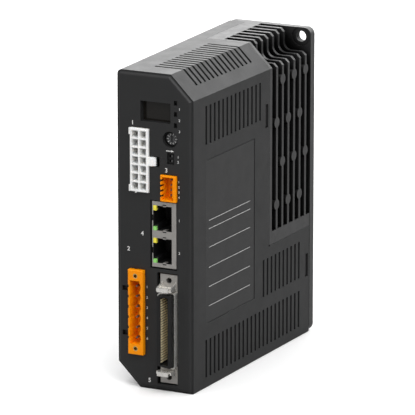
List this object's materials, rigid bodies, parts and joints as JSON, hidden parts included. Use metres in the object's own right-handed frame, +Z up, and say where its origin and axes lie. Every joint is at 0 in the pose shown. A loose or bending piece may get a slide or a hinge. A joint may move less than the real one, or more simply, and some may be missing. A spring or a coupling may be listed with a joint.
{
  "type": "servo drive",
  "caption": "Slim upright servo drive with a vented plastic cover, a finned die-cast heat sink with a mounting plate, front sockets, a rotary switch and small slide switches.",
  "frame": {"origin": "middle of the base of the drive's bounding box", "axes": "+Z up, -Y out of the front with the sockets, +Y to the mounting plate, +X to the finned side"},
  "size_m": [0.0462, 0.1344, 0.155],
  "materials": {
    "housing_plastic": "fine sparked texture, dark grey",
    "cast_black": "black powder coat over die-cast aluminium",
    "label_film": "satin polyester film",
    "smoked_lens": "smoked acrylic, gloss",
    "light_pipe": "dark translucent acrylic",
    "switch_black": "moulded nylon",
    "dial_grey": "moulded nylon",
    "slider_grey": "moulded nylon",
    "header_white": "natural nylon",
    "header_orange": "orange glass-filled nylon",
    "tinned_pin": "bright tin plate",
    "brass_nut": "plain brass",
    "tinned_sheet": "dull nickel plate",
    "bright_sheet": "bright nickel plate",
    "socket_black": "black glass-filled nylon",
    "gold_contact": "hard gold plate",
    "light_yellow": "clear tinted acrylic",
    "light_green": "clear tinted acrylic",
    "board_green": "solder mask over glass epoxy",
    "display_grey": "potted display face",
    "led_white": "clear epoxy",
    "chip_black": "epoxy moulding compound",
    "thermal_grey": "filled silicone sheet",
    "zinc_screw": "zinc plate",
    "spacer_brass": "plain brass",
    "capacitor_sleeve": "shrink sleeve over an aluminium can",
    "ferrite": "sintered ferrite",
    "copper_wire": "enamelled copper wire",
    "tape_yellow": "polyester tape over a bobbin",
    "film_box": "potted plastic box",
    "relay_black": "sealed plastic case",
    "fuse_ceramic": "ceramic tube"
  },
  "bodies": {
    "housing": {"cover": "housing_plastic", "heat_sink": "cast_black", "name_plate": "label_film", "display_window": "smoked_lens", "status_light_pipes": "light_pipe", "id_switch_body": "switch_black", "dip_switch_body": "switch_black", "motor_header": "header_white", "motor_header_pins": "tinned_pin", "supply_header": "header_orange", "supply_header_pins": "tinned_pin", "supply_header_nuts": "brass_nut", "aux_header": "header_orange", "aux_header_pins": "tinned_pin", "network_shield": "tinned_sheet", "network_insert": "socket_black", "network_contacts": "gold_contact", "network_lights_yellow": "light_yellow", "network_lights_green": "light_green", "signal_flange": "tinned_sheet", "signal_shell": "bright_sheet", "signal_insulator": "socket_black", "signal_contacts": "gold_contact", "signal_latches": "bright_sheet", "power_board": "board_green", "control_board": "board_green", "display_board": "board_green", "display_digits": "display_grey", "status_leds": "led_white", "power_module": "chip_black", "rectifier": "chip_black", "thermal_pads": "thermal_grey", "module_screws": "zinc_screw", "bus_capacitors": "capacitor_sleeve", "line_choke_core": "ferrite", "line_choke_winding": "copper_wire", "line_filter_capacitor": "film_box", "inrush_relay": "relay_black", "fuse": "fuse_ceramic", "supply_transformer_core": "ferrite", "supply_transformer_coil": "tape_yellow", "processor": "chip_black", "network_transformers": "chip_black", "control_chips": "chip_black", "board_link_socket": "socket_black", "board_link_header": "socket_black", "board_spacers": "spacer_brass", "board_screws": "zinc_screw"},
    "id_dial": {"id_switch_dial": "dial_grey"},
    "slider_one": {"dip_slider_1": "slider_grey"},
    "slider_two": {"dip_slider_2": "slider_grey"}
  },
  "joints": [
    {"name": "id_dial_turn", "type": "hinge", "parent": "housing", "child": "id_dial", "pos_m": [0.0083, -0.05675, 0.1238], "axis": [0, -1, 0], "continuous": true},
    {"name": "slider_one_travel", "type": "slide", "parent": "housing", "child": "slider_one", "axis": [1, 0, 0], "range_m": [-0.001, 0]},
    {"name": "slider_two_travel", "type": "slide", "parent": "housing", "child": "slider_two", "axis": [1, 0, 0], "range_m": [-0.001, 0]}
  ]
}
